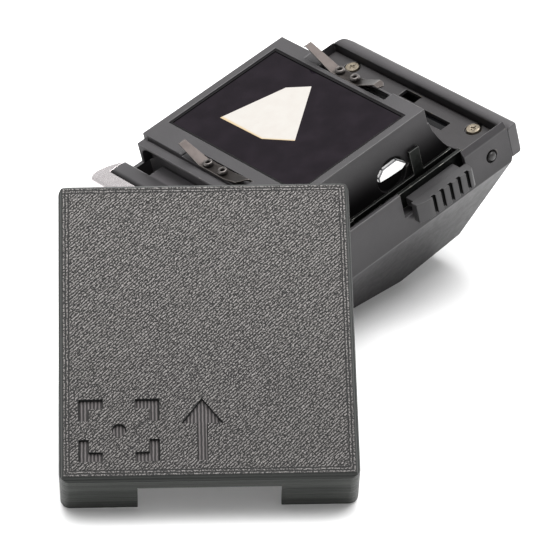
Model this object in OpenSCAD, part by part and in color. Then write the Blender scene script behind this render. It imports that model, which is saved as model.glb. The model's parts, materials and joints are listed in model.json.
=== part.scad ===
// Interchangeable eye-level pentaprism finder for a 35 mm reflex camera, lying on its roof with
// its glass window up, and its slip-on printed cap leaning against it.
// The finder is drawn in its own frame: x across it, y towards its front, z out of its window.

/* [Window block] */
// Width of the block round the window
block_w = 40.6; // [39:0.2:42]
// Distance from the window's middle to the block's front face
block_front = 17; // [16.5:0.1:17.5]
// Distance from the window's middle to the block's rear face
block_rear = 18.9; // [18.5:0.1:19.3]
// Width of the glass window
window_w = 36; // [34:0.5:37]
// Length of the glass window, front to rear
window_l = 26.3; // [25:0.1:27]

/* [Housing] */
// Width of the finder without its buttons
housing_w = 50.4; // [50:0.2:52]
// Thickness of the housing's sheet metal
wall = 0.9; // [0.8:0.1:1.1]
// Height of the side walls' edge below the window
side_top = -9.6; // [-9.8:0.1:-9.4]
// Height where the side walls meet the slanted faces
side_foot = -19.5; // [-20:0.1:-19]
// How far the slanted faces lean in for each millimetre of height
side_slope = 0.61; // [0.58:0.01:0.64]
// Height of the front rim below the window
rim_top = -11.85; // [-12.2:0.05:-11.6]
// Height of the front plate below the window
plate_top = -14.2; // [-14.6:0.1:-14]

/* [Eyepiece] */
// Radius of the eyepiece thread
eye_r = 9; // [8.6:0.1:9.2]
// Height of the eyepiece axis below the window
eye_z = -17; // [-17:0.1:-16.5]

/* [Release slides] */
// Length of a release button
button_l = 14.2; // [13.6:0.1:14.4]
// Travel of a release button
button_travel = 2.5; // [1:0.1:2.5]
// Number of grooves in a release button
button_grooves = 5; // [3:1:6]

/* [Cap] */
// Width of the cap
cap_w = 52.2; // [51:0.2:54]
// Length of the cap
cap_l = 59.3; // [58:0.1:60]
// Depth of the cap
cap_d = 10.9; // [10:0.1:11]
// Thickness of the cap's walls and face
cap_wall = 1.2; // [0.8:0.1:1.6]
// Width of the notch in the cap's lower wall
notch_w = 25.1; // [20:0.1:28]
// Depth of the engraved sign on the cap's face
mark_depth = 0.6; // [0.4:0.1:0.8]
// Width of the engraved sign's strokes
mark_stroke = 1.7; // [1:0.1:2]

/* [Placing] */
// Turn of the finder about the vertical
finder_yaw = -49.5; // [-50:0.1:-49]
// Tilt of the finder, front end up, where it rests on its roof
finder_tilt = 15; // [15:0.1:15]
// Turn of the cap about the vertical
cap_yaw = 1.8; // [1.5:0.1:2]
// Slope of the leaning cap
cap_slope = 31.4; // [31.2:0.1:31.6]

/* [Hidden] */
$fn = 48;

half_w = housing_w / 2;
far = 80;                    // longer than anything it cuts
gap = 0.05;                  // room between fitted pieces
crest_y = 8;                 // highest line of the roof, which the finder rests on
crest_z = -39.4;
roof_rear_y = -5.1;          // where the roof turns down to the eyepiece
roof_rear_z = -35.4;
rear_y = -29.8;              // rear wall
rear_corner = 2.1;           // plan radius of the housing's rear corners
deck_top = -6;               // top of the section over the eyepiece
deck_front = -22.3;
deck_t = 1.4;
ridge_y = -26.1;             // foot of the rounded rear edge of the ridge on the deck
ridge_x = 23.6;              // half width of the ridge
trim_rear = -30.2;           // rear edge of the trim behind the ridge
trim_x = 25.9;               // half width of the trim behind the ridge
cover_y = 31.2;              // seam between the side walls and the front cover
rim_y = 33.7;                // outer face of the front cover
rim_corner = 4.2;             // plan radius of the front cover's left corner
cover_foot = -18.7;
finder_lift = -(crest_y * sin(finder_tilt) + crest_z * cos(finder_tilt));
rear_foot = -(finder_lift + rear_y * sin(finder_tilt)) / cos(finder_tilt);
finder_at = [-1.65, 21.31, finder_lift];
cap_at = [-15.25, -57.19, 0]; // middle of the cap's lower rim edge
floor_top = -16;             // floor of the channels beside the block
floor_t = 1;
rail_x = 20.5;               // inner face of the right guide rail
rail_t = 0.6;
bar_x = 22;                  // inner face of the right latch bar
bar_t = 0.8;
bar_front = 21.5;
bar_rear = -16.5;
button_x = 27.8;             // outer face of the right button
button_y = 5.6;              // rear end of the button
button_top = -12.4;
button_h = 4.2;
neck_y = [button_y + 1, button_y + 13.2];
slot_y = [neck_y[0] - button_travel - 0.2, 20]; // room in the side wall for the button's neck
slot_foot = -15.2;
rail_top = -11.3;
bar_top = -11.6;
recess_at = [6.5, -8.6];      // y and z of the round recess at the side light window
recess_r = 3.6;
rivet_x = 2.1;
front_spring_y = 15.9;
rear_spring_y = -17.8;
leaf_z = -0.4;               // underside of a leaf spring where it lies flat
leaf_t = 0.3;
plate_t = 0.8;
plate_screw = [17.3, 29.3];
side_screw = [26.4, -15.3];  // y and z of the screws in the side walls
frame_screws_at = [[22.4, 18.5], [22.6, -17.3]];
hole_a = [-2.9, 28.4, 4.4, 2.2];
hole_b = [4.6, 25.5, 7.6, 2.6];
coil_r = 0.75;
coil_y = [-14.6, -7.4];      // the return spring's ends at rest
mark_at = [-15.6, -20];      // middle of the engraved frame sign
mark_size = [14, 12];

// Places what is drawn in the finder's own frame
module in_finder() {
    translate(finder_at) rotate([0, 0, finder_yaw]) rotate([finder_tilt, 0, 0]) children();
}

// Places what is drawn in the cap's own frame: z is out of its face, y up its slope
module in_cap() {
    translate(cap_at) rotate([0, 0, cap_yaw]) rotate([cap_slope, 0, 0])
        translate([0, cap_l / 2, cap_d]) children();
}

// A (y, z) outline drawn out along x
module along_x(w) rotate([90, 0, 90]) linear_extrude(w, center = true) children();

// An (x, z) outline drawn out along y
module along_y(l) rotate([90, 0, 0]) linear_extrude(l, center = true) children();

// The same thing on both sides
module both_sides() {
    children();
    mirror([1, 0, 0]) children();
}

// A box given by its lowest and highest corners
module block(low, high) translate(low) cube(high - low);

// A rectangle with round corners, made of true arcs
module round_rect(w, l, r) {
    square([w - 2 * r, l], center = true);
    square([w, l - 2 * r], center = true);
    for (x = [-1, 1], y = [-1, 1]) translate([x * (w / 2 - r), y * (l / 2 - r)]) circle(r);
}

// The outline moved in by t all round; its points run anticlockwise
function unit(v) = v / norm(v);
function left_of(v) = [-v[1], v[0]];
function inset(pts, t) = [for (i = [0:len(pts) - 1])
    let (a = pts[(i + len(pts) - 1) % len(pts)], b = pts[i], c = pts[(i + 1) % len(pts)],
         n = left_of(unit(b - a)), m = left_of(unit(c - b)))
    b + (n + m) * t / (1 + n * m)];

// Points of a strip of thickness t that follows a path
function strip(path, t) = concat(path,
    [for (i = [len(path) - 1:-1:0]) path[i] + [0, t]]);

side_outline = [[cover_y, -1], [rear_y, -1], [rear_y, rear_foot], [roof_rear_y, roof_rear_z],
                [crest_y, crest_z], [23.1, -37.4], [30.4, -20.3], [cover_y, cover_foot]];
lean = side_slope * (side_foot + 42);
front_outline = [[half_w, -1], [-half_w, -1], [-half_w, side_foot], [-half_w + lean, -42],
                 [half_w - lean, -42], [half_w, side_foot]];

// The room inside the housing's outer faces, moved in by t
module housing_form(t) {
    intersection() {
        along_x(far) polygon(inset(side_outline, t));
        along_y(2 * far) polygon(inset(front_outline, t));
    }
}

// What is cut from the right side wall in front of the slot, down to top at its inner face
module front_bevel(top) {
    translate([0, slot_y[1] - 0.1 + 6, 0]) along_y(12) polygon([[half_w - wall - 1, 0], [half_w - wall - 1, top],
        [half_w - wall, top], [half_w + 0.1, top - 1.4], [half_w + 1, top - 1.4], [half_w + 1, 0]]);
}

module top_housing() color([0.27, 0.26, 0.27]) in_finder() {
    difference() {
        intersection() {
            housing_form(0);
            translate([0, 0, -60]) linear_extrude(60) housing_plan(0);
        }
        difference() {
            housing_form(wall);
            // bosses for the frame and plate screws
            both_sides() for (p = frame_screws_at)
                translate([p[0] - 0.4, p[1], -27]) cylinder(r = 1.7, h = 27 + floor_top - floor_t - gap);
            both_sides() translate([plate_screw[0], plate_screw[1] - 0.4, -27])
                cylinder(r = 1.9, h = 27 + plate_top - plate_t - gap);
        }
        // the open side towards the camera
        difference() {
            block([-half_w - 1, rear_y - 1, side_top], [half_w + 1, cover_y + 1, 1]);
            block([-half_w - 2, rear_y - 2, deck_top - 6], [half_w + 2, deck_front, deck_top - deck_t - gap]);
        }
        // the front wall is open behind the front cover
        block([-half_w + wall, cover_y - 2, cover_foot + 1.2], [half_w - wall, cover_y + 1, 1]);
        block([-half_w + wall, rear_y + wall, side_top - 1], [half_w - wall, cover_y - wall, 1]);
        // the side walls are lower and bevelled towards the front, the left one more so
        front_bevel(-10.3);
        mirror([1, 0, 0]) front_bevel(-12.2);
        // slots for the button necks
        both_sides() block([half_w - 2 * wall, slot_y[0], slot_foot], [half_w + 1, slot_y[1], 0]);
        // holes for the eyepiece, the screws in the side walls and the screws in the bosses
        translate([0, rear_y, eye_z]) rotate([90, 0, 0]) cylinder(r = eye_r + 0.8 + gap, h = 6, center = true);
        both_sides() translate([half_w, side_screw[0], side_screw[1]]) rotate([0, 90, 0]) {
            cylinder(r = 0.7, h = 6, center = true);
            translate([0, 0, -0.45]) cylinder(r = 1.35, h = 2);
        }
        both_sides() translate([plate_screw[0], plate_screw[1], -20]) cylinder(r = 0.7, h = 10);
        both_sides() for (p = frame_screws_at)
            translate([p[0], p[1], -22]) cylinder(r = 0.6, h = 10);
    }
}

// The nameplate cover: a plain band round the front with a slightly crowned rim
module front_cover() color([0.36, 0.35, 0.36]) in_finder() {
    low = -30;
    crown_r = 2;                 // radius of the crowned rim's profile
    intersection() {
        along_x(housing_w) intersection() {
            polygon([[cover_y + gap, cover_foot], [rim_y - 0.5, cover_foot], [rim_y, cover_foot + 0.5],
                     [rim_y, rim_top], [cover_y + gap, rim_top]]);
            union() {
                translate([cover_y + 1.4, rim_top - crown_r]) circle(crown_r);
                translate([cover_y - 1, cover_foot - 1]) square([5, rim_top - crown_r - cover_foot + 1]);
            }
        }
        // plan: a large round left corner and a small right one
        translate([0, rim_y - 10, low]) linear_extrude(-low) round_rect(housing_w, 20, 0.5);
        translate([rim_corner, rim_y - 10, low]) linear_extrude(-low)
            round_rect(housing_w + 2 * rim_corner - 0.001, 20, rim_corner);
        // its left end is rounded down to the lower left wall
        translate([5, 0, 0]) along_y(2 * far) translate([0, rim_top - 15]) round_rect(housing_w + 10, 30, 2.4);
    }
}

module base_frame() color([0.4, 0.38, 0.4]) in_finder() {
    ledge_x = 19.7;
    ledge_y = -21;
    ledge_z = -0.8;
    relief = 0.12;
    difference() {
        union() {
            block([-block_w / 2, -block_rear, floor_top - floor_t], [block_w / 2, block_front, 0]);
            // the block's side walls sweep forward and down to the front plate
            both_sides() translate([block_w / 2 - 0.55, 0, 0]) along_x(1.1)
                polygon([[block_front - 0.5, floor_top], [block_front - 0.5, -3.4], [17.35, -3.5], [17.8, -5.5],
                         [18.8, -7.9], [19.55, -9.5], [20.4, -10.9], [21.9, -12.6], [23.5, -14],
                         [23.5, -14.9], [21, floor_top]]);
            // floor of the channels beside the block
            block([-half_w + wall + 0.1, -18.6, floor_top - floor_t], [half_w - wall - 0.1, 21, floor_top]);
            // ledge along the rear with a wall at each end and round inner corners
            difference() {
                block([-ledge_x, ledge_y, deck_top + 0.6], [ledge_x, -block_rear, ledge_z]);
                along_y(far) translate([0, ledge_z - 0.6 - 8]) round_rect(2 * ledge_x - 1.6, 16, 2.2);
            }
        }
        // groove between the ledge and the block
        block([-ledge_x + 0.9, -block_rear - 0.35, ledge_z - 0.4], [ledge_x - 0.9, -block_rear + 0.01, ledge_z + 1]);
        // seat of the window and the light well under it
        block([-window_w / 2 - 0.6, -window_l / 2 - 0.6, -2.2], [window_w / 2 + 0.6, window_l / 2 + 0.6, 1]);
        block([-window_w / 2 + 0.5, -window_l / 2 + 0.5, -5], [window_w / 2 - 0.5, window_l / 2 - 0.5, 1]);
        block([-18.8, -block_rear + 1.4, floor_top - 3], [18.8, block_front - 1.4, -3.2]);
        // recesses for the two leaf springs, deep under the front one's arms
        block([-7.6, front_spring_y - 1.25, leaf_z - gap], [11.6, block_front + 1, 1]);
        for (pocket = [[-6, 3], [8, 7]]) translate([pocket[0], front_spring_y - 0.35, -2.4])
            linear_extrude(3) round_rect(pocket[1], 1.8, 0.85);
        block([-8.8, -block_rear - 1, leaf_z - gap], [8.7, -16.4, 1]);
        // shallow relief under the ends of the arms, which overhang the block's top
        block([-11.4, front_spring_y - 1, -relief], [0, block_front + 1, 1]);
        block([-9.6, -block_rear - 1, -relief], [9, -16.4, 1]);
        // opening for the light on its way to the eyepiece
        on_eye_axis(-block_rear + 3) cylinder(r = eye_r - 1, h = 6);
        // recess and opening of the side light window
        translate([19.4, recess_at[0], recess_at[1]]) rotate([0, 90, 0]) cylinder(r = recess_r, h = 3);
        translate([19, 0, 0]) along_x(4) polygon(light_outline(gap));
        // holes for the rivets and screws
        for (x = [-rivet_x, rivet_x], y = [front_spring_y, rear_spring_y])
            translate([x, y, -2]) cylinder(r = 0.55, h = 3);
        both_sides() for (p = frame_screws_at)
            translate([p[0], p[1], floor_top - 2]) cylinder(r = 0.9, h = 4);
    }
}

// Sheet plate in front of the block, with two light openings
module front_plate() color([0.42, 0.4, 0.42]) in_finder() {
    edge = half_w - wall - 0.2;
    translate([0, 0, plate_top - plate_t]) difference() {
        linear_extrude(plate_t) difference() {
            polygon([[-edge, cover_y - 0.1], [-edge, 23.6], [-19, 23.6], [-14, 21.4], [-11, block_front + 0.1],
                     [11, block_front + 0.1], [14, 21.4], [19, 23.6], [edge, 23.6], [edge, cover_y - 0.1]]);
            for (h = [hole_a, hole_b]) translate([h[0], h[1]]) square([h[2], h[3]]);
        }
        both_sides() translate([plate_screw[0], plate_screw[1], -1]) cylinder(r = 0.8, h = 4);
        both_sides() translate([plate_screw[0], plate_screw[1], 0.3]) cylinder(r = 1.75, h = 4);
    }
}

// The section over the eyepiece: a flat ridge with a tongue that runs forward to the block
module rear_deck() color([0.45, 0.43, 0.45]) in_finder() {
    difference() {
        union() {
            // the ridge's rear edge is rounded down
            along_x(2 * ridge_x) intersection() {
                translate([ridge_y, deck_top - deck_t]) square([deck_front - ridge_y, deck_t]);
                union() {
                    translate([ridge_y + 1.2, deck_top - 1.2]) circle(1.2);
                    translate([ridge_y + 1.2, deck_top - 3]) square([far, 3]);
                }
            }
            block([-16.2, deck_front - 1, deck_top - deck_t], [16.2, -block_rear - gap, deck_top]);
        }
        // clear of the eyepiece barrel
        on_eye_axis(0) cylinder(r = eye_r + 0.8 + gap, h = 40);
    }
}

// Polished trim round the ridge: it sits on the housing's rear wall and corners
module rear_trim() color([0.8, 0.8, 0.8]) in_finder() {
    top = deck_top - 0.05;
    skirt = deck_top - 7.5;
    difference() {
        intersection() {
            translate([0, 0, skirt]) linear_extrude(top - skirt) trim_plan();
            // the rear edge is rounded down
            along_x(2 * far) translate([trim_rear + 25, top - 25]) round_rect(50, 50, 1.6);
        }
        translate([0, 0, -30]) linear_extrude(30 + deck_top - deck_t) housing_plan(gap);
        block([-ridge_x - gap, ridge_y - gap, -30], [ridge_x + gap, 0, 1]);
        on_eye_axis(0) cylinder(r = eye_r + 0.8 + gap, h = 40);
    }
}

// Plan of the trim: wide at the rear, with round corners, and narrower towards the ridge's front
module trim_plan() {
    intersection() {
        translate([0, trim_rear + 25]) round_rect(2 * trim_x, 50, 2.4);
        polygon([[-trim_x, trim_rear], [-trim_x, -27.2], [-25.4, -25.4], [-24, -22.9], [24, -22.9],
                 [25.4, -25.4], [trim_x, -27.2], [trim_x, trim_rear]]);
    }
}

// Plan of the housing's outside, moved out by t: its front is square and its rear corners are round
module housing_plan(t) {
    translate([0, rear_y - t + 50]) round_rect(housing_w + 2 * t, 100, rear_corner + t);
}

module pentaprism() color([0.1, 0.1, 0.13]) in_finder() {
    intersection() {
        housing_form(wall + 1.35);
        block([-18, -15, -40], [18, 20, -3.6]);
        along_x(far) polygon([[15.2, -3.6], [-14.8, -3.6], [-14.8, -24], [-8, -40], [20, -40], [18.4, -19], [15.2, -17]]);
    }
}

module condenser_window() color([0.12, 0.1, 0.13]) in_finder()
    block([-window_w / 2, -window_l / 2, -2.15], [window_w / 2, window_l / 2, -0.3]);

// Thin mask round the glass
module window_frame() color([0.1, 0.1, 0.1]) in_finder() {
    translate([0, 0, -2.15]) linear_extrude(2) difference() {
        square([window_w + 1.1, window_l + 1.1], center = true);
        square([window_w + 2 * gap, window_l + 2 * gap], center = true);
    }
}

// Sheet strap over the prism's roof, with its feet on the floor of the frame
module prism_retainer() color([0.5, 0.48, 0.42]) in_finder() {
    intersection() {
        difference() {
            housing_form(wall + 0.6);
            housing_form(wall + 1.2);
        }
        block([-30, -3, -45], [30, 5, floor_top - floor_t - gap]);
    }
}

module prism_cushion() color([0.15, 0.15, 0.15]) in_finder() {
    intersection() {
        difference() {
            housing_form(wall + gap);
            housing_form(wall + 0.55);
        }
        block([-9, -2, -45], [9, 4, -30]);
    }
}

// Places a shape turned about the eyepiece's axis, with its z towards the eye
module on_eye_axis(y) translate([0, y, eye_z]) rotate([90, 0, 0]) children();

module eyepiece_barrel() color([0.2, 0.2, 0.2]) in_finder() {
    start = -block_rear - 0.3;
    tube_l = start - rear_y - 0.15;
    on_eye_axis(start) rotate_extrude()
        polygon([[eye_r - 1.3, 0], [eye_r + 0.7, 0], [eye_r + 0.7, tube_l], [eye_r - 0.4, tube_l],
                 [eye_r - 0.4, 3.2], [eye_r - 1.3, 2.6]]);
}

module eye_lens() color([0.3, 0.33, 0.36]) in_finder() {
    thick = 3.3;
    on_eye_axis(rear_y + 0.2 + thick) intersection() {
        cylinder(r = eye_r - 0.45, h = thick);
        translate([0, 0, thick - 30]) sphere(30, $fn = 96);
    }
}

module field_lens() color([0.3, 0.33, 0.36]) in_finder() {
    on_eye_axis(-block_rear - 3.6) intersection() {
        cylinder(r = eye_r - 0.45, h = 3.6);
        translate([0, 0, 26]) sphere(26, $fn = 96);
    }
}

// Front ring of the eyepiece with the accessory thread's bore
module eyepiece_ring() color([0.25, 0.25, 0.25]) in_finder() {
    on_eye_axis(rear_y + 0.1) rotate_extrude()
        polygon([[eye_r, 0], [eye_r + 0.75, 0], [eye_r + 0.75, 1.2], [eye_r + 1, 1.2], [eye_r + 1, 4.2],
                 [eye_r + 0.5, 4.8], [eye_r, 4.8]]);
}

// Leaf spring: a flat middle held by two rivets, and an arm rising at each end; outline is its plan
module leaf_spring(left_arm, right_arm, outline) {
    path = concat(left_arm, [[-3.6, leaf_z], [3.6, leaf_z]], right_arm);
    difference() {
        intersection() {
            along_y(4) polygon(strip(path, leaf_t));
            translate([0, 0, -5]) linear_extrude(10) polygon(outline);
        }
        for (x = [-rivet_x, rivet_x]) translate([x, 0, -2]) cylinder(r = 0.55, h = 4);
    }
}

module front_leaf_spring() color([0.5, 0.45, 0.42]) in_finder() translate([0, front_spring_y, 0])
    leaf_spring([[-11.1, 2.3], [-10.6, 2.75], [-9.9, 2.5]], [[8.6, 1.6], [9.9, 1.2]],
                [[-11.2, -0.75], [-4, -1.15], [4, -1.15], [9.6, -0.7], [10, 0.5], [9.3, 1.1], [4, 1.05],
                 [-4, 1.05], [-11.2, 0.75]]);

module rear_leaf_spring() color([0.5, 0.45, 0.42]) in_finder() translate([0, rear_spring_y, 0])
    leaf_spring([[-9.4, 1.9], [-9.1, 1.95]], [[8.2, 0.35], [8.8, 0.2]],
                [[-9.4, -0.8], [-3.8, -1.2], [3.6, -1.2], [6.9, -1], [8.7, 1.05], [3.6, 1.2], [-3.8, 1.2],
                 [-9.4, 0.8]]);

// Pair of tubular rivets with a rolled head
module rivet_pair(y) {
    for (x = [-rivet_x, rivet_x]) translate([x, y, 0]) rotate_extrude()
        polygon([[0.34, -1.6], [0.5, -1.6], [0.5, leaf_z + leaf_t + 0.02], [0.9, leaf_z + leaf_t + 0.02],
                 [0.98, 0.3], [0.86, 0.62], [0.62, 0.7], [0.4, 0.45]]);
}

module front_spring_rivets() color([0.45, 0.42, 0.4]) in_finder() rivet_pair(front_spring_y);

module rear_spring_rivets() color([0.45, 0.42, 0.4]) in_finder() rivet_pair(rear_spring_y);

// Screw with a cross slot; its head's top is at z = 0
module screw(head_r, head_h, shank_r, shank_l) {
    slot_w = 0.35;
    slot_d = 0.35;
    difference() {
        union() {
            translate([0, 0, -head_h]) cylinder(r1 = head_r, r2 = head_r * 0.9, h = head_h);
            translate([0, 0, -head_h - shank_l]) cylinder(r = shank_r, h = shank_l + 0.1);
        }
        for (a = [0, 90]) rotate([0, 0, a]) cube([head_r * 0.85, slot_w, 2 * slot_d], center = true);
    }
}

module plate_screws() color([0.65, 0.6, 0.54]) in_finder()
    both_sides() translate([plate_screw[0], plate_screw[1], plate_top + 0.25]) screw(1.5, 0.7, 0.65, 3.2);

// Round-headed pins that hold the front cover
module side_screws() color([0.2, 0.2, 0.2]) in_finder()
    both_sides() translate([half_w + 0.2, side_screw[0], side_screw[1]]) rotate([0, 90, 0])
        rotate_extrude() polygon([[0, -1.1], [0.65, -1.1], [0.65, -0.6], [0.95, -0.6], [0.95, -0.15],
                                  [0.75, 0.15], [0.4, 0.3], [0, 0.35]]);

module frame_screws() color([0.6, 0.58, 0.52]) in_finder()
    both_sides() for (p = frame_screws_at)
        translate([p[0], p[1], floor_top + 0.65]) screw(1.2, 0.6, 0.55, 3);

// Outline (y, z) of the side light window, moved out by t
function light_outline(t) = inset([[3.7, -8], [3.7, -9.1], [5.9, -9.35], [9.4, -9.5], [10.8, -8.8],
                                   [8.6, -6.6], [5, -6.7]], -t);

// Frosted window in the block's right side that lights the read-outs
module side_light_window() color([0.95, 0.95, 0.93]) in_finder()
    along_x_at(19.35, 1.1) polygon(light_outline(0));

module readout_prism() color([0.3, 0.35, 0.38]) in_finder()
    along_x_at(8.4, 8) polygon([[24.4, -15.1], [24.4, -19.4], [28.9, -15.1]]);

// A (y, z) outline drawn out along x, with its middle at x
module along_x_at(x, w) translate([x, 0, 0]) along_x(w) children();

// Fixed rail beside the block, with a bent-up tab
module guide_rail() {
    block([rail_x, coil_y[0] - 1, floor_top + 0.02], [rail_x + rail_t, 20.6, rail_top]);
    block([rail_x, 10.9, rail_top - 0.1], [rail_x + rail_t, 13.3, -6]);
    // lug that the return spring pushes on
    block([rail_x, coil_y[0] - 1, floor_top + 0.02], [24.1, coil_y[0] - 0.05, floor_top + 0.6]);
    block([23.1, coil_y[0] - 1, floor_top + 0.02], [24.1, coil_y[0] - 0.05, floor_top + 2.3]);
}

module right_guide_rail() color([0.3, 0.28, 0.26]) in_finder() guide_rail();

module left_guide_rail() color([0.3, 0.28, 0.26]) in_finder() mirror([1, 0, 0]) guide_rail();

// Ribbed thumb slide with a bevelled rear end and a neck through the wall
module release_button() {
    inner = half_w + 0.3;
    front = button_y + button_l;
    groove = [0.75, 0.6];        // width and depth of a groove
    difference() {
        translate([0, 0, button_top - button_h]) linear_extrude(button_h)
            polygon([[inner, button_y], [button_x - 0.8, button_y], [button_x, button_y + 2.2],
                     [button_x, front - 0.7], [button_x - 0.35, front - 0.15], [button_x - 1, front],
                     [inner, front]]);
        for (i = [0:button_grooves - 1]) translate([button_x - groove[1], button_y + 3.5 + i * 2.15, -30])
            cube([2, groove[0], 40]);
    }
    block([bar_x + bar_t, neck_y[0], -14.7], [inner, neck_y[1], -13]);
}

module right_release_button() color([0.3, 0.29, 0.3]) in_finder() release_button();

module left_release_button() color([0.3, 0.29, 0.3]) in_finder() mirror([1, 0, 0]) release_button();

// Sliding bar with a notch and a hook that hold the finder on the camera
module latch_bar() {
    difference() {
        block([bar_x, bar_rear, floor_top + 0.9], [bar_x + bar_t, bar_front, bar_top]);
        block([bar_x - 1, 1.5, bar_top - 0.9], [bar_x + 2, 2.4, -9]);
    }
    block([bar_x, -8.5, bar_top - 0.1], [bar_x + bar_t, -5.9, -10]);
    // lug in front of the return spring
    block([bar_x + bar_t, coil_y[1] + 0.05, floor_top + 0.9], [24, coil_y[1] + 1.1, floor_top + 2.4]);
}

module right_latch_bar() color([0.35, 0.33, 0.3]) in_finder() latch_bar();

module left_latch_bar() color([0.35, 0.33, 0.3]) in_finder() mirror([1, 0, 0]) latch_bar();

// Outer shape of a return spring
module return_spring() {
    translate([23.5, coil_y[1], floor_top + 1.5]) rotate([90, 0, 0]) difference() {
        cylinder(r = coil_r - 0.15, h = coil_y[1] - coil_y[0]);
        translate([0, 0, -1]) cylinder(r = coil_r - 0.4, h = 20);
    }
}

module right_return_spring() color([0.7, 0.7, 0.7]) in_finder() return_spring();

module left_return_spring() color([0.7, 0.7, 0.7]) in_finder() mirror([1, 0, 0]) return_spring();

// Sign engraved on the cap: the corners of a picture frame round a dot, and an arrow beside them
module cap_sign() {
    translate(mark_at) {
        difference() {
            square(mark_size, center = true);
            square([mark_size[0] - 2 * mark_stroke, mark_size[1] - 2 * mark_stroke], center = true);
            square([mark_size[0] * 0.4, mark_size[1] + 1], center = true);
            square([mark_size[0] + 1, mark_size[1] * 0.3], center = true);
        }
        circle(mark_stroke * 0.7);
        translate([mark_size[0] / 2 + 7.5, 0]) {
            translate([-mark_stroke / 2, -mark_size[1] / 2]) square([mark_stroke, mark_size[1] - 2]);
            polygon([[-3.6, 1.2], [0, mark_size[1] / 2], [3.6, 1.2]]);
        }
    }
}

// Printed cap: a shallow box with a bevelled face, a notch and two ribs that clip beside the block
module cap_shell() color([0.38, 0.37, 0.36]) in_cap() {
    edge = 0.85;
    corner = 1.8;
    inner_w = cap_w - 2 * cap_wall;
    inner_l = cap_l - 2 * cap_wall;
    difference() {
        translate([0, 0, -cap_d]) intersection() {
            linear_extrude(cap_d) round_rect(cap_w, cap_l, corner);
            // bevel round the face
            along_x(far) polygon([[-cap_l / 2, 0], [cap_l / 2, 0], [cap_l / 2, cap_d - edge],
                                  [cap_l / 2 - edge, cap_d], [-cap_l / 2 + edge, cap_d], [-cap_l / 2, cap_d - edge]]);
            along_y(far) polygon([[-cap_w / 2, 0], [cap_w / 2, 0], [cap_w / 2, cap_d - edge],
                                  [cap_w / 2 - edge, cap_d], [-cap_w / 2 + edge, cap_d], [-cap_w / 2, cap_d - edge]]);
        }
        difference() {
            translate([0, 0, -cap_d - 1]) linear_extrude(cap_d + 1 - cap_wall) round_rect(inner_w, inner_l, 0.8);
            both_sides() block([21, -22, -7.5], [22.2, 10, 0]);
        }
        translate([0, 0, -mark_depth]) linear_extrude(1) cap_sign();
        // notch in the lower wall
        block([-notch_w / 2, -cap_l / 2 - 1, -cap_d - 1], [notch_w / 2, -cap_l / 2 + cap_wall + 0.5, -3.6]);
    }
}

top_housing();
front_cover();
base_frame();
front_plate();
rear_deck();
rear_trim();
pentaprism();
condenser_window();
window_frame();
prism_retainer();
prism_cushion();
eyepiece_barrel();
eye_lens();
field_lens();
eyepiece_ring();
front_leaf_spring();
rear_leaf_spring();
front_spring_rivets();
rear_spring_rivets();
plate_screws();
side_screws();
frame_screws();
side_light_window();
readout_prism();
right_guide_rail();
left_guide_rail();
right_release_button();
right_latch_bar();
right_return_spring();
left_release_button();
left_latch_bar();
left_return_spring();
cap_shell();
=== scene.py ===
import json
from math import cos, pi, radians, sin

import bmesh
import bpy
from mathutils import Matrix, Vector


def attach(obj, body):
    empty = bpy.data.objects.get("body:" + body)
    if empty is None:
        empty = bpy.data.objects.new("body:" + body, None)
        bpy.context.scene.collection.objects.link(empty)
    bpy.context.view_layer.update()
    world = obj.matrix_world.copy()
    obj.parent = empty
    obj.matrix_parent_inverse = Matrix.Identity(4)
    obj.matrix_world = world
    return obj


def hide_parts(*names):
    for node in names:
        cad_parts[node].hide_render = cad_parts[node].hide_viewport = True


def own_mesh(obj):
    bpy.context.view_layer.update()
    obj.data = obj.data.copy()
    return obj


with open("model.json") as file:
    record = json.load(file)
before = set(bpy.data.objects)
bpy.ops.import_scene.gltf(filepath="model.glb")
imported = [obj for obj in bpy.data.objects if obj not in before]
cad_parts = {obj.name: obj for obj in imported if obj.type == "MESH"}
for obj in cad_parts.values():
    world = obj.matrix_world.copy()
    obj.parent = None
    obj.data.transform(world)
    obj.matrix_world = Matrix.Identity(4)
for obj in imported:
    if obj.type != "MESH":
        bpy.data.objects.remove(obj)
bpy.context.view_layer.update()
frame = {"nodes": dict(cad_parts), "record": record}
MM = 0.001

# ---------------------------------------------------------------------------------------------
# Where the finder and the cap stand. The turns are those of the CAD, the places come from its nodes.

FINDER_TURN = Matrix.Rotation(radians(-49.5), 3, "Z") @ Matrix.Rotation(radians(15), 3, "X")
CAP_TURN = Matrix.Rotation(radians(1.8), 3, "Z") @ Matrix.Rotation(radians(31.4), 3, "X")
GLASS_BELOW_BLOCK = 0.3 * MM


def own_box(node, turn):
    """Lowest and highest corner of a CAD node in axes turned by turn."""
    points = [turn.transposed() @ v.co for v in frame["nodes"][node].data.vertices]
    low = Vector([min(p[i] for p in points) for i in range(3)])
    high = Vector([max(p[i] for p in points) for i in range(3)])
    return low, high


def placed(turn, origin):
    """Axes turned by turn, with their origin at a point that is given in the turned axes."""
    return Matrix.Translation(turn @ origin) @ turn.to_4x4()


glass_low, glass_high = own_box("condenser_window", FINDER_TURN)
FINDER = placed(FINDER_TURN, Vector(((glass_low.x + glass_high.x) / 2, (glass_low.y + glass_high.y) / 2,
                                     glass_high.z + GLASS_BELOW_BLOCK)))
cap_low, cap_high = own_box("cap_shell", CAP_TURN)
CAP = placed(CAP_TURN, Vector(((cap_low.x + cap_high.x) / 2, (cap_low.y + cap_high.y) / 2, cap_high.z)))
CAP_SIZE = cap_high - cap_low


def finder_box(node):
    """Lowest and highest corner of a CAD node in the finder's own axes, in millimetres."""
    low, high = own_box(node, FINDER_TURN)
    origin = FINDER_TURN.transposed() @ FINDER.translation
    return (low - origin) / MM, (high - origin) / MM


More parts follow.
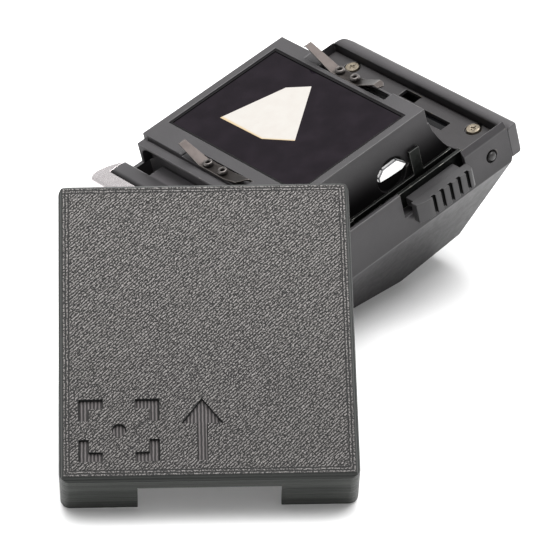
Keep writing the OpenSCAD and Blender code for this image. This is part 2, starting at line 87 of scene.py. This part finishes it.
RAMP_SOCKETS = ("Value", "From Min", "From Max", "To Min", "To Max")
SLOT_OF = {s["node"]: s["material_slot"] for s in frame["record"]["subparts"]}
BODY_OF = {n: b for b, nodes in frame["record"]["behaviour"]["bodies"].items() for n in nodes}

# ---------------------------------------------------------------------------------------------
# Material helpers

DUST = (0.34, 0.31, 0.27, 1.0)
BLACK = (0.0, 0.0, 0.0, 1.0)
# how dark painted shade makes a colour, as a share of it
SHADE_TONE = 0.12
# the specular level the shader has by itself
PLAIN_GLOSS = 0.5


class Look:
    """A node material with short calls for its nodes. Its point and normal are in the axes of the finder
    or the cap, the point in millimetres."""

    def __init__(self, name, place=FINDER, **shader):
        self.material = bpy.data.materials.new(name)
        self.material.use_nodes = True
        self.tree = self.material.node_tree
        self.shader = self.tree.nodes["Principled BSDF"]
        for socket, value in shader.items():
            self.set(socket.replace("_", " "), value)
        coords = self.tree.nodes.new("ShaderNodeTexCoord")
        origin, turn, _ = place.decompose()
        into_place = self.tree.nodes.new("ShaderNodeMapping")
        into_place.vector_type = "TEXTURE"
        into_place.inputs["Location"].default_value = origin
        into_place.inputs["Rotation"].default_value = turn.to_euler()
        into_place.inputs["Scale"].default_value = (MM, MM, MM)
        self.plug(into_place.inputs["Vector"], coords.outputs["Object"])
        self.point = into_place.outputs["Vector"]
        turned = self.tree.nodes.new("ShaderNodeVectorRotate")
        turned.rotation_type = "EULER_XYZ"
        turned.invert = True
        turned.inputs["Rotation"].default_value = turn.to_euler()
        self.plug(turned.inputs["Vector"], coords.outputs["Normal"])
        self.normal = turned.outputs["Vector"]

    def set(self, socket, value):
        self.plug(self.shader.inputs[socket], value)

    def plug(self, socket, value):
        if isinstance(value, bpy.types.NodeSocket):
            self.tree.links.new(value, socket)
        else:
            socket.default_value = value

    def math(self, operation, a, b=0.0):
        n = self.tree.nodes.new("ShaderNodeMath")
        n.operation = operation
        self.plug(n.inputs[0], a)
        self.plug(n.inputs[1], b)
        return n.outputs[0]

    def scaled(self, vector, factors):
        n = self.tree.nodes.new("ShaderNodeVectorMath")
        n.operation = "MULTIPLY"
        self.plug(n.inputs[0], vector)
        self.plug(n.inputs[1], factors)
        return n.outputs["Vector"]

    def off_axis(self, middle):
        """How far the point is from the axis that runs across the finder through middle."""
        y, z = self.part(self.point)[1:3]
        n = self.tree.nodes.new("ShaderNodeVectorMath")
        n.operation = "LENGTH"
        side = self.join(0.0, self.math("SUBTRACT", y, middle.y), self.math("SUBTRACT", z, middle.z))
        self.plug(n.inputs[0], side)
        return n.outputs["Value"]

    def part(self, vector):
        n = self.tree.nodes.new("ShaderNodeSeparateXYZ")
        self.plug(n.inputs[0], vector)
        return n.outputs

    def join(self, x, y, z):
        n = self.tree.nodes.new("ShaderNodeCombineXYZ")
        for socket, value in zip(n.inputs, (x, y, z)):
            self.plug(socket, value)
        return n.outputs[0]

    def noise(self, size, detail=2.0, rough=0.5, stretch=None, at=None):
        """Noise with features of about size millimetres, from 0 to 1."""
        n = self.tree.nodes.new("ShaderNodeTexNoise")
        point = at or self.point
        if stretch:
            point = self.scaled(point, stretch)
        self.plug(n.inputs["Vector"], point)
        n.inputs["Scale"].default_value = 1 / size
        n.inputs["Detail"].default_value = detail
        n.inputs["Roughness"].default_value = rough
        return n.outputs["Fac"]

    def specks(self, spacing, radius, share):
        """1 in round specks and 0 elsewhere. One speck lies in each of that share of the cells, and the
        cells are spacing millimetres apart."""
        n = self.tree.nodes.new("ShaderNodeTexVoronoi")
        self.plug(n.inputs["Vector"], self.point)
        n.inputs["Scale"].default_value = 1 / spacing
        near = self.ramp(n.outputs["Distance"], radius / spacing, radius / spacing * 0.5)
        chosen = self.math("GREATER_THAN", self.part(n.outputs["Color"])[0], 1 - share)
        return self.math("MULTIPLY", near, chosen)

    def ramp(self, value, start, end, low=0.0, high=1.0):
        """low at start, high at end, smooth between them and level outside."""
        n = self.tree.nodes.new("ShaderNodeMapRange")
        n.interpolation_type = "SMOOTHSTEP"
        for socket, setting in zip(RAMP_SOCKETS, (value, start, end, low, high)):
            self.plug(n.inputs[socket], setting)
        return n.outputs["Result"]

    def mix(self, share, a, b):
        """Colour a where share is 0 and colour b where it is 1."""
        n = self.tree.nodes.new("ShaderNodeMix")
        n.data_type = "RGBA"
        self.plug(n.inputs[0], share)
        self.plug(n.inputs[6], a)
        self.plug(n.inputs[7], b)
        return n.outputs[2]

    def blend(self, share, a, b):
        """Number a where share is 0 and number b where it is 1."""
        n = self.tree.nodes.new("ShaderNodeMix")
        self.plug(n.inputs[0], share)
        self.plug(n.inputs[2], a)
        self.plug(n.inputs[3], b)
        return n.outputs[0]

    def bump(self, height, depth):
        """Surface relief: height 1 stands depth millimetres over height 0."""
        n = self.tree.nodes.new("ShaderNodeBump")
        n.inputs["Strength"].default_value = 1.0
        n.inputs["Distance"].default_value = depth * MM
        self.plug(n.inputs["Height"], height)
        self.set("Normal", n.outputs[0])


def rgb(r, g, b):
    return (r, g, b, 1.0)


def toned(colour, factor):
    """The colour made factor times as light."""
    return rgb(*(min(1, c * factor) for c in colour))


def coating(name, colour, roughness, grain=0.12, relief=0.004, dust=0.03, dust_size=0.05, uneven=0.1,
            painted_shade=None, painted_light=None, **shader):
    """Paint, anodising or moulded plastic: slightly uneven colour and gloss, a fine grain and a little
    dust. The shade function, given the look, says where shade is painted, nearly black, and the
    light function says where light is painted, lighter."""
    look = Look(name, **shader)
    broad = look.noise(9, detail=3)
    fine = look.noise(grain, detail=3, rough=0.6)
    body = look.mix(look.ramp(broad, 0.3, 0.7), toned(colour, 1 - uneven), toned(colour, 1 + uneven))
    body = look.mix(look.ramp(fine, 0.4, 0.75, 0.0, 0.25), body, toned(colour, 1.8))
    specks = look.specks(1.9, dust_size, dust)
    body = look.mix(look.math("MULTIPLY", specks, 0.6), body, DUST)
    # painted light where the light function says, and painted shade, nearly black and less glossy, where
    # the shade function says
    if painted_light:
        body = look.mix(painted_light(look), body, toned(colour, 3))
    if painted_shade:
        shade_share = painted_shade(look)
        body = look.mix(shade_share, body, toned(colour, SHADE_TONE))
        unshaded_gloss = shader.get("Specular_IOR_Level", PLAIN_GLOSS)
        look.set("Specular IOR Level", look.blend(shade_share, unshaded_gloss, 0.05))
    look.set("Base Color", body)
    gloss = look.noise(1.5, detail=5)
    look.set("Roughness", look.ramp(gloss, 0.3, 0.7, roughness - 0.03, roughness + 0.03))
    look.bump(fine, relief)
    return look.material


def worn_edge(name, paint, metal, roughness, wear, painted_shade=None):
    """The edge of a painted part: paint that has worn to metal in places. The shade function, given
    the look, says where shade is painted, nearly black."""
    look = Look(name)
    worn = look.ramp(look.noise(2.6, detail=6, rough=0.65), 0.62 - wear, 0.7 - wear)
    colour = look.mix(worn, rgb(*paint), rgb(*metal))
    # painted shade, nearly black, less glossy and unworn, where the shade function says
    if painted_shade:
        shade_share = painted_shade(look)
        colour = look.mix(shade_share, colour, toned(paint, SHADE_TONE))
        look.set("Specular IOR Level", look.blend(shade_share, PLAIN_GLOSS, 0.03))
        worn = look.math("MULTIPLY", worn, look.math("SUBTRACT", 1.0, shade_share))
    look.set("Base Color", colour)
    look.set("Metallic", look.math("MULTIPLY", worn, 0.6))
    look.set("Roughness", look.blend(worn, roughness, 0.4))
    look.bump(look.noise(0.15, detail=3), 0.005)
    return look.material


def metal(name, colour, roughness, tarnish, stain_size=1.3):
    """Bare or oxidised metal with fine tool marks and darker tarnish."""
    look = Look(name, Metallic=1.0)
    stain = look.ramp(look.noise(stain_size, detail=5, rough=0.6), 0.42, 0.68)
    look.set("Base Color", look.mix(stain, rgb(*colour), rgb(*tarnish)))
    marks = look.noise(0.09, detail=3)
    look.set("Roughness", look.ramp(marks, 0.3, 0.7, roughness - 0.08, roughness + 0.1))
    look.bump(marks, 0.003)
    return look.material


def in_recess(look):
    """Painted shade: the recess beside the side light window, which reaches further back and down than
    the window.
    """
    low, high = finder_box("side_light_window")
    away = look.off_axis((low + high) / 2 - Vector((0, 0.75, 0.55)))
    on_this_side = look.math("GREATER_THAN", look.part(look.point)[0], low.x - 1)
    return look.math("MULTIPLY", look.ramp(away, 4.1, 3.5), on_this_side)


def down_the_block(look):
    """Painted shade: the recess of the side light window, and the block's sides, more the lower they
    are.
    """
    z = look.part(look.point)[2]
    side = look.ramp(look.math("ABSOLUTE", look.part(look.normal)[0]), 0.6, 0.8)
    deep = look.ramp(z, -0.5, -10.5, 0.12, 1.0)
    return look.math("MAXIMUM", in_recess(look), look.math("MULTIPLY", side, deep))


def behind_the_rim(look):
    """Painted shade on the inner face of the front cover."""
    return look.ramp(look.part(look.normal)[1], -0.4, -0.8, 0.0, 0.6)


def round_the_pins(look):
    """Painted shade in the counterbores round the pins in the side walls."""
    low, high = finder_box("side_screws")
    away = look.off_axis((low + high) / 2)
    from_middle = look.math("ABSOLUTE", look.part(look.point)[0])
    outside = look.math("GREATER_THAN", from_middle, high.x - 1.2)
    return look.math("MULTIPLY", look.ramp(away, 1.5, 1.2), outside)


def low_on_the_housing(look):
    """Painted shade: the housing's walls towards the floor, and the counterbores in them."""
    z = look.part(look.point)[2]
    wall = look.ramp(look.part(look.normal)[2], 0.7, 0.4)
    low = look.math("MULTIPLY", wall, look.ramp(z, -13, -27, 0.05, 0.6))
    return look.math("MAXIMUM", low, round_the_pins(look))


def before_the_ridge(look):
    """Painted light on the tongue between the ridge and the block."""
    return look.ramp(look.part(look.point)[1], -22.7, -22.1)


def rear_of_the_ridge(look):
    """Painted shade on the rounded rear edge of the ridge."""
    return look.ramp(look.part(look.point)[1], -24.9, -25.9, 0.0, 0.9)


def in_grooves(look):
    """Painted shade in the grooves across a release button."""
    low, high = finder_box("right_release_button")
    x, y = look.part(look.point)[0:2]
    inside = look.ramp(look.math("ABSOLUTE", x), high.x - 0.08, high.x - 0.2)
    after_first = look.math("GREATER_THAN", y, low.y + 3.2)
    before_last = look.math("LESS_THAN", y, high.y - 1)
    ribs = look.math("MULTIPLY", after_first, before_last)
    side = look.math("LESS_THAN", look.part(look.normal)[2], 0.5)
    return look.math("MULTIPLY", look.math("MULTIPLY", inside, ribs), side)


def spring_leaf():
    """Oxidised spring steel, with painted light on the left arms."""
    look = Look("oxidised_spring_steel", Metallic=1.0)
    lit_arms = look.math("MULTIPLY", look.ramp(look.part(look.normal)[0], 0.1, 0.3),
                        look.math("LESS_THAN", look.part(look.point)[0], 0))
    stain = look.ramp(look.noise(3, detail=5, rough=0.6), 0.42, 0.68)
    # painted light: the flats darker, and the left arms, whose faces lean towards +x, lighter
    flat = look.mix(stain, rgb(0.034, 0.03, 0.028), rgb(0.024, 0.021, 0.02))
    arm = look.mix(stain, rgb(0.058, 0.05, 0.047), rgb(0.044, 0.038, 0.036))
    look.set("Base Color", look.mix(lit_arms, flat, arm))
    marks = look.noise(0.09, detail=3, stretch=(1, 8, 8))
    look.set("Roughness", look.ramp(marks, 0.3, 0.7, 0.34, 0.48))
    look.bump(marks, 0.003)
    return look.material


# ---------------------------------------------------------------------------------------------
# Materials

MATERIAL = {
    # painted shade down the block's sides and in the side window's recess
    "black_casting": coating("matt_black_casting", (0.034, 0.032, 0.034), 0.45, grain=0.16, relief=0.006,
                             dust=0.05, dust_size=0.08, painted_shade=down_the_block, Specular_IOR_Level=0.35),
    "black_plate": coating("matt_black_sheet", (0.03, 0.028, 0.029), 0.52, Specular_IOR_Level=0.24),
    "black_mask": coating("window_mask", (0.004, 0.0035, 0.004), 0.6, dust=0.0, Specular_IOR_Level=0.1),
    "foam": coating("foam", (0.02, 0.02, 0.021), 0.9, grain=0.5, relief=0.1),
    # the frosted side window glows a little: painted light
    "white_window": coating("frosted_window_painted_glow", (0.86, 0.86, 0.84), 0.4, dust=0.0, uneven=0.03,
                            Emission_Strength=0.4),
    "black_plastic": coating("moulded_plastic", (0.03, 0.029, 0.03), 0.38, relief=0.005,
                             Specular_IOR_Level=0.35),
    "black_screw": coating("black_oxide", (0.016, 0.015, 0.015), 0.36, Specular_IOR_Level=0.4),
    "polished_trim": metal("polished_trim", (0.9, 0.85, 0.86), 0.2, (0.86, 0.81, 0.82), stain_size=6),
    "spring_steel": spring_leaf(),
    "rivet_steel": metal("rolled_rivet_steel", (0.12, 0.11, 0.105), 0.42, (0.08, 0.073, 0.07)),
    "bright_screw": metal("nickel_screw", (0.26, 0.225, 0.175), 0.42, (0.14, 0.12, 0.095)),
    "blackened_steel": metal("blackened_steel", (0.024, 0.026, 0.024), 0.48, (0.015, 0.016, 0.015)),
    "coil_steel": metal("spring_wire", (0.55, 0.54, 0.52), 0.3, (0.35, 0.33, 0.31)),
}
WORN_PAINT = ((0.04, 0.038, 0.04), (0.12, 0.11, 0.1), 0.4, 0.03)
PAINT_EDGE = worn_edge("worn_paint_edge", *WORN_PAINT)
# worn edges, with painted shade in the counterbores round the pins and in the side window's recess
HOUSING_EDGE = worn_edge("worn_and_shaded_housing_edge", *WORN_PAINT, painted_shade=round_the_pins)
CASTING_EDGE = worn_edge("worn_and_shaded_casting_edge", *WORN_PAINT, painted_shade=in_recess)
PLATE_EDGE = worn_edge("worn_sheet_edge", (0.045, 0.042, 0.042), (0.14, 0.12, 0.09), 0.42, 0.06)
STEEL_EDGE = worn_edge("worn_steel_edge", (0.045, 0.045, 0.043), (0.27, 0.265, 0.24), 0.42, 0.08)
SPRING_EDGE = worn_edge("bright_spring_edge", (0.09, 0.078, 0.07), (0.15, 0.13, 0.12), 0.36, 0.1)
# painted shade in the button's grooves
BUTTON = coating("ribbed_button", (0.03, 0.029, 0.03), 0.4, relief=0.005, dust=0.0, painted_shade=in_grooves,
                 Specular_IOR_Level=0.35)
# painted shade low on the housing's walls and in its counterbores
HOUSING_PAINT = coating("housing_enamel", (0.03, 0.028, 0.03), 0.42, painted_shade=low_on_the_housing,
                        Specular_IOR_Level=0.35)
# painted shade on the cover's inner face
COVER_PAINT = coating("cover_enamel", (0.042, 0.039, 0.041), 0.42, painted_shade=behind_the_rim,
                      Specular_IOR_Level=0.45)
# painted shade on the ridge's rear edge, and painted light on the tongue before it
DECK_PAINT = coating("deck_enamel", (0.04, 0.038, 0.04), 0.38, painted_shade=rear_of_the_ridge,
                     painted_light=before_the_ridge, Specular_IOR_Level=0.4)
PRISM_PAINT = coating("black_prism_paint", (0.008, 0.008, 0.009), 0.5, grain=0.3, Specular_IOR_Level=0.2)
# the side window's bevelled edge is grey, darker than its white face
WINDOW_EDGE = coating("grey_window_edge", (0.2, 0.2, 0.21), 0.5, dust=0.0)


def window_glass():
    """Coated glass over the dark prism box: nearly black, with a faint purple sheen."""
    look = Look("coated_window_glass", IOR=1.5, Specular_IOR_Level=0.26)
    look.set("Specular Tint", rgb(0.97, 0.76, 0.82))
    smear = look.ramp(look.noise(5, detail=4), 0.35, 0.75)
    look.set("Base Color", look.mix(smear, rgb(0.004, 0.003, 0.005), rgb(0.008, 0.006, 0.009)))
    look.set("Roughness", look.blend(smear, 0.04, 0.08))
    return look.material


def clear_glass(name, tint):
    """Glass that light goes through, with a slight haze."""
    look = Look(name, IOR=1.52, Transmission_Weight=0.85)
    haze = look.noise(3, detail=3)
    look.set("Base Color", look.mix(haze, rgb(*tint), toned(tint, 0.85)))
    look.set("Roughness", look.ramp(haze, 0.3, 0.7, 0.02, 0.06))
    return look.material


MATERIAL["dark_window"] = window_glass()
MATERIAL["optical_glass"] = clear_glass("optical_glass", (0.78, 0.82, 0.84))
# painted shade: the readout prism's glass is tinted nearly black, for the dark hole it sits in
SHADE_DARK_GLASS = clear_glass("glass_darkened_for_shade", (0.02, 0.02, 0.024))

# the cap's bevel and the widths of its printed beads, in millimetres
CAP_BEVEL = 0.85
RASTER_PITCH = 0.5
OUTLINE_PITCH = 0.55
SIGN_PITCH = 0.62
LAYER_HEIGHT = 0.42


def printed_plastic(half_w, half_l):
    """Dark printed plastic: a broken 45 degree raster on the face inside two outline beads, straight
    beads on the floor of the engraved sign, and layer lines round the walls."""
    look = Look("printed_plastic", place=CAP, Specular_IOR_Level=0.25)
    x, y, z = look.part(look.point)
    upward = look.part(look.normal)[2]

    def beads(distance, pitch, wobble):
        """Rounded beads side by side, from 0 in the seams to 1 on the crowns."""
        shaken = look.math("ADD", distance, look.math("MULTIPLY", wobble, pitch))
        return look.math("ABSOLUTE", look.math("SINE", look.math("MULTIPLY", shaken, pi / pitch)))

    # the face's raster: beads along the diagonal, pushed about until they break into short worms
    diagonal = cos(pi / 4)
    along = look.math("MULTIPLY", look.math("ADD", x, y), diagonal)
    across = look.math("MULTIPLY", look.math("SUBTRACT", x, y), diagonal)
    skewed = look.join(look.math("MULTIPLY", along, 0.7), across, 0.0)
    wave = look.math("MULTIPLY", look.noise(0.65, detail=3, rough=0.6, at=skewed), 1.35)
    worms = look.math("POWER", beads(across, RASTER_PITCH, wave), 1.2)
    crumbs = look.ramp(look.noise(0.24, detail=2, rough=0.6, at=skewed), 0.4, 0.58, 0.15, 1.0)
    raster = look.math("MULTIPLY", worms, crumbs)

    # the outline beads along the border
    border_x = look.math("SUBTRACT", half_w - CAP_BEVEL, look.math("ABSOLUTE", x))
    border_y = look.math("SUBTRACT", half_l - CAP_BEVEL, look.math("ABSOLUTE", y))
    border = look.math("MINIMUM", border_x, border_y)
    drift = look.math("MULTIPLY", look.noise(1.2, detail=2), 0.5)
    dots = look.ramp(look.noise(0.3, detail=2), 0.4, 0.6, 0.2, 0.65)
    outline = look.math("MULTIPLY", beads(border, OUTLINE_PITCH, drift), dots)
    in_outline = look.ramp(border, 1.176, 1.05)
    top = look.blend(in_outline, raster, outline)

    # the floor of the engraved sign
    sign_drift = look.math("MULTIPLY", look.noise(0.9, detail=2), 0.3)
    sign_floor = look.math("POWER", beads(x, SIGN_PITCH, sign_drift), 2.0)
    in_sign = look.math("MULTIPLY", look.ramp(z, -0.1, -0.25), look.ramp(z, -1.0, -0.9))
    flat = look.blend(in_sign, top, sign_floor)

    # the layers of the walls: mostly even beads near the face, and more uneven ones below
    uneven = look.ramp(look.noise(0.45, detail=3, rough=0.7, stretch=(0.006, 0.006, 1)), 0.15, 0.85)
    even = beads(z, LAYER_HEIGHT, look.math("MULTIPLY", uneven, 0.2))
    layers = look.blend(look.ramp(z, -1.5, -1.2, 0.35, 0.85), uneven, even)
    upright = look.ramp(look.math("ABSOLUTE", upward), 0.9, 0.75)
    look.bump(look.blend(upright, flat, layers), 0.12)

    # painted shade: the face is a little darker towards its lower end, the seams between beads are
    # black, the sign is darker than the face and its walls are black, and the bevel is darker too
    light = look.ramp(y, -half_l, half_l, 0.8, 1.06)
    crown = look.scaled((0.24, 0.227, 0.22), look.join(light, light, light))
    face = look.mix(look.ramp(flat, 0.15, 0.75), BLACK, crown)
    sign = look.mix(sign_floor, rgb(0.001, 0.001, 0.001), rgb(0.11, 0.1, 0.1))
    side = look.mix(look.ramp(layers, 0.1, 0.9), rgb(0.005, 0.006, 0.0055), rgb(0.042, 0.045, 0.041))
    side = look.mix(look.ramp(border, 1.5, 2.0), side, BLACK)
    side = look.mix(look.ramp(upward, 0.3, 0.55, 0.0, 0.7), side, rgb(0.01, 0.011, 0.0105))
    body = look.mix(upright, look.mix(in_sign, face, sign), side)
    body = look.mix(look.math("MULTIPLY", look.specks(2.3, 0.07, 0.05), 0.7), body, rgb(0.4, 0.38, 0.36))
    look.set("Base Color", body)
    look.set("Roughness", look.blend(upright, 0.55, 0.42))
    return look.material


MATERIAL["printed_plastic"] = printed_plastic(CAP_SIZE.x / 2 / MM, CAP_SIZE.y / 2 / MM)

# ---------------------------------------------------------------------------------------------
# Pieces


def link(mesh, name):
    piece = bpy.data.objects.new(name, mesh)
    bpy.context.scene.collection.objects.link(piece)
    return piece


def stand_for(piece, node):
    """The piece takes the CAD node's place and body."""
    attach(piece, BODY_OF[node])
    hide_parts(node)


def rounded(node, edge, edge_material=None, material=None, segments=2):
    """A piece in a CAD node's shape, with whole faces and its edges rounded by edge millimetres."""
    form = bmesh.new()
    form.from_mesh(frame["nodes"][node].data)
    bmesh.ops.remove_doubles(form, verts=form.verts, dist=0.002 * MM)
    bmesh.ops.dissolve_limit(form, angle_limit=radians(1.0), verts=form.verts, edges=form.edges)
    mesh = bpy.data.meshes.new(node + "_mesh")
    form.to_mesh(mesh)
    form.free()
    piece = link(mesh, node + "_piece")
    mesh.materials.append(material or MATERIAL[SLOT_OF[node]])
    mesh.shade_smooth()
    bevel = piece.modifiers.new("edges", "BEVEL")
    bevel.width = edge * MM
    bevel.segments = segments
    bevel.limit_method = "ANGLE"
    bevel.angle_limit = radians(28)
    bevel.use_clamp_overlap = False
    if edge_material:
        mesh.materials.append(edge_material)
        bevel.material = 1
    normals = piece.modifiers.new("normals", "WEIGHTED_NORMAL")
    normals.keep_sharp = True
    normals.weight = 80
    stand_for(piece, node)


rounded("top_housing", 0.16, edge_material=HOUSING_EDGE, material=HOUSING_PAINT)
rounded("front_cover", 0.18, edge_material=PAINT_EDGE, material=COVER_PAINT)
rounded("base_frame", 0.14, edge_material=CASTING_EDGE)
rounded("front_plate", 0.1, edge_material=PLATE_EDGE)
rounded("rear_deck", 0.3, edge_material=PAINT_EDGE, material=DECK_PAINT)
rounded("rear_trim", 0.04)
rounded("window_frame", 0.05)
rounded("condenser_window", 0.1)
rounded("eyepiece_ring", 0.1)
rounded("eyepiece_barrel", 0.08)
rounded("front_leaf_spring", 0.06, edge_material=SPRING_EDGE)
rounded("rear_leaf_spring", 0.06, edge_material=SPRING_EDGE)
rounded("front_spring_rivets", 0.04)
rounded("rear_spring_rivets", 0.04)
rounded("plate_screws", 0.06)
rounded("side_screws", 0.06)
rounded("frame_screws", 0.06)
rounded("side_light_window", 0.22, edge_material=WINDOW_EDGE, segments=1)
rounded("readout_prism", 0.06, material=SHADE_DARK_GLASS)
rounded("prism_retainer", 0.06)
for side in ("right", "left"):
    rounded(side + "_guide_rail", 0.07, edge_material=STEEL_EDGE)
    rounded(side + "_release_button", 0.12, material=BUTTON)
    rounded(side + "_latch_bar", 0.07, edge_material=STEEL_EDGE)
rounded("cap_shell", 0.18)

# the closed-in pieces are the CAD's own
for node in ("pentaprism", "prism_cushion", "eye_lens", "field_lens"):
    inner = frame["nodes"][node]
    inner.data.materials.clear()
    inner.data.materials.append(PRISM_PAINT if node == "pentaprism" else MATERIAL[SLOT_OF[node]])


def coil_spring(node):
    """A helix of wire in place of the CAD's plain tube."""
    low, high = (corner * MM for corner in finder_box(node))
    middle = (low + high) / 2
    length = high.y - low.y
    wire_radius = 0.13 * MM
    coil_radius = (high.x - low.x) / 2 - wire_radius
    turns, steps, ring = 9, 18, 8
    mesh = bpy.data.meshes.new(node + "_mesh")
    form = bmesh.new()
    rings = []
    for i in range(turns * steps + 1):
        share = i / (turns * steps)
        a = 2 * pi * turns * share
        out = Vector((cos(a), 0, sin(a)))
        advance = low.y + wire_radius + (length - 2 * wire_radius) * share
        centre = Vector((middle.x, advance, middle.z)) + out * coil_radius
        angles = [2 * pi * k / ring for k in range(ring)]
        spots = [out * cos(angle) + Vector((0, sin(angle), 0)) for angle in angles]
        rings.append([form.verts.new(centre + spot * wire_radius) for spot in spots])
    for a, b in zip(rings, rings[1:]):
        for k in range(ring):
            form.faces.new((a[k], a[(k + 1) % ring], b[(k + 1) % ring], b[k]))
    form.faces.new(rings[0])
    form.faces.new(rings[-1][::-1])
    bmesh.ops.recalc_face_normals(form, faces=form.faces)
    form.transform(FINDER)
    form.to_mesh(mesh)
    form.free()
    mesh.materials.append(MATERIAL[SLOT_OF[node]])
    mesh.shade_smooth()
    mesh.set_sharp_from_angle(angle=radians(32))
    piece = link(mesh, node + "_coil")
    stand_for(piece, node)
    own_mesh(piece)


coil_spring("right_return_spring")
coil_spring("left_return_spring")


def bright_view():
    """Painted light: the bright room as the prism shows it in the window, on a thin pale plate just over
    the glass that glows.
    """
    look = Look("bright_view", Roughness=0.35)
    x, y, z = look.part(look.point)
    toward_left = look.math("SUBTRACT", look.math("MULTIPLY", x, 0.96), look.math("MULTIPLY", y, 0.27))
    blue = look.ramp(toward_left, -11.0, -9.6, 0.6, 0.0)
    lower_edge = look.math("MULTIPLY", look.math("MAXIMUM", x, 0.39), 0.556)
    amber = look.ramp(look.math("SUBTRACT", y, lower_edge), -6.9, -6.3, 0.8, 0.0)
    patches = look.ramp(look.noise(2.5, detail=3), 0.3, 0.7)
    tone = look.mix(patches, rgb(0.87, 0.82, 0.76), rgb(0.9, 0.86, 0.8))
    tone = look.mix(blue, tone, rgb(0.55, 0.68, 0.9))
    tone = look.mix(amber, tone, rgb(0.85, 0.6, 0.25))
    look.set("Base Color", rgb(0.02, 0.02, 0.02))
    look.set("Emission Color", tone)
    look.set("Emission Strength", 0.92)
    outline = [(-11.4, -6.88), (-7.6, 6.66), (-3.64, 9.73), (6.22, -3.39), (0.39, -6.63)]
    top, bottom = -0.27 * MM, -0.29 * MM
    form = bmesh.new()
    upper = [form.verts.new((px * MM, py * MM, top)) for px, py in outline]
    lower = [form.verts.new((px * MM, py * MM, bottom)) for px, py in outline]
    form.faces.new(upper)
    form.faces.new(lower[::-1])
    for i in range(len(outline)):
        form.faces.new((upper[i - 1], lower[i - 1], lower[i], upper[i]))
    bmesh.ops.recalc_face_normals(form, faces=form.faces)
    form.transform(FINDER)
    mesh = bpy.data.meshes.new("bright_view_mesh")
    form.to_mesh(mesh)
    form.free()
    mesh.materials.append(look.material)
    piece = link(mesh, "bright_view")
    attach(piece, "finder")


bright_view()

# ---------------------------------------------------------------------------------------------
# Stage, light and camera

FLOOR_GLOW = 0.03


def floor():
    """A pale floor, 6 m square, that glows faintly."""
    look = Look("pale_floor", Roughness=0.75)
    patches = look.noise(60, detail=3)
    look.set("Base Color", look.mix(patches, rgb(0.86, 0.86, 0.86), rgb(0.89, 0.89, 0.89)))
    look.set("Emission Color", rgb(1.0, 1.0, 1.0))
    look.set("Emission Strength", FLOOR_GLOW)
    half = 3.0
    mesh = bpy.data.meshes.new("floor_mesh")
    corners = [(-half, -half, 0), (half, -half, 0), (half, half, 0), (-half, half, 0)]
    mesh.from_pydata(corners, [], [(0, 1, 2, 3)])
    mesh.materials.append(look.material)
    link(mesh, "floor")


def softbox(name, at, size, radiance):
    """A rectangular lamp that looks at the middle of the scene."""
    light = bpy.data.lights.new(name, "AREA")
    light.shape = "RECTANGLE"
    light.size, light.size_y = size
    light.energy = radiance * pi * size[0] * size[1]
    lamp = bpy.data.objects.new(name, light)
    bpy.context.scene.collection.objects.link(lamp)
    lamp.location = at
    lamp.rotation_mode = "QUATERNION"
    lamp.rotation_quaternion = (-Vector(at)).to_track_quat("-Z", "Y")


def studio(horizon, above, front, start, end):
    """A room with a bright horizon behind and beside the object, a darker front and a dim ceiling. start
    and end are the heights on the unit sphere between which the horizon fades."""
    world = bpy.data.worlds.new("studio")
    world.use_nodes = True
    nodes, links = world.node_tree.nodes, world.node_tree.links

    def fade(*settings):
        n = nodes.new("ShaderNodeMapRange")
        n.interpolation_type = "SMOOTHSTEP"
        for socket, setting in zip(RAMP_SOCKETS, settings):
            if isinstance(setting, bpy.types.NodeSocket):
                links.new(setting, n.inputs[socket])
            else:
                n.inputs[socket].default_value = setting
        return n.outputs["Result"]

    coords = nodes.new("ShaderNodeTexCoord")
    parts = nodes.new("ShaderNodeSeparateXYZ")
    links.new(coords.outputs["Generated"], parts.inputs[0])
    low = fade(parts.outputs["Y"], -0.5, 0.3, front, horizon)
    background = nodes["Background"]
    links.new(fade(parts.outputs["Z"], start, end, low, above), background.inputs["Strength"])
    background.inputs["Color"].default_value = rgb(1.0, 1.0, 1.0)
    bpy.context.scene.world = world


floor()
softbox("overhead_softbox", at=(0.06, 0.08, 1.2), size=(1.3, 1.3), radiance=6.3)
studio(horizon=2.6, above=0.5, front=0.6, start=0.2, end=0.5)

CAMERA_TARGET = Vector((-5.31, 28.96, 0)) * MM
CAMERA_DISTANCE = 795.9 * MM
CAMERA_ELEVATION = radians(29.13)
camera = bpy.data.objects.new("camera", bpy.data.cameras.new("camera"))
bpy.context.scene.collection.objects.link(camera)
bpy.context.scene.camera = camera
camera.data.sensor_width = 36
camera.data.lens = 278.3
camera.data.clip_start, camera.data.clip_end = 0.05, 10
back = Vector((0, -cos(CAMERA_ELEVATION), sin(CAMERA_ELEVATION)))
camera.location = CAMERA_TARGET + back * CAMERA_DISTANCE
camera.rotation_mode = "QUATERNION"
camera.rotation_quaternion = (-back).to_track_quat("-Z", "Y")
bpy.context.scene.view_settings.view_transform = "Standard"
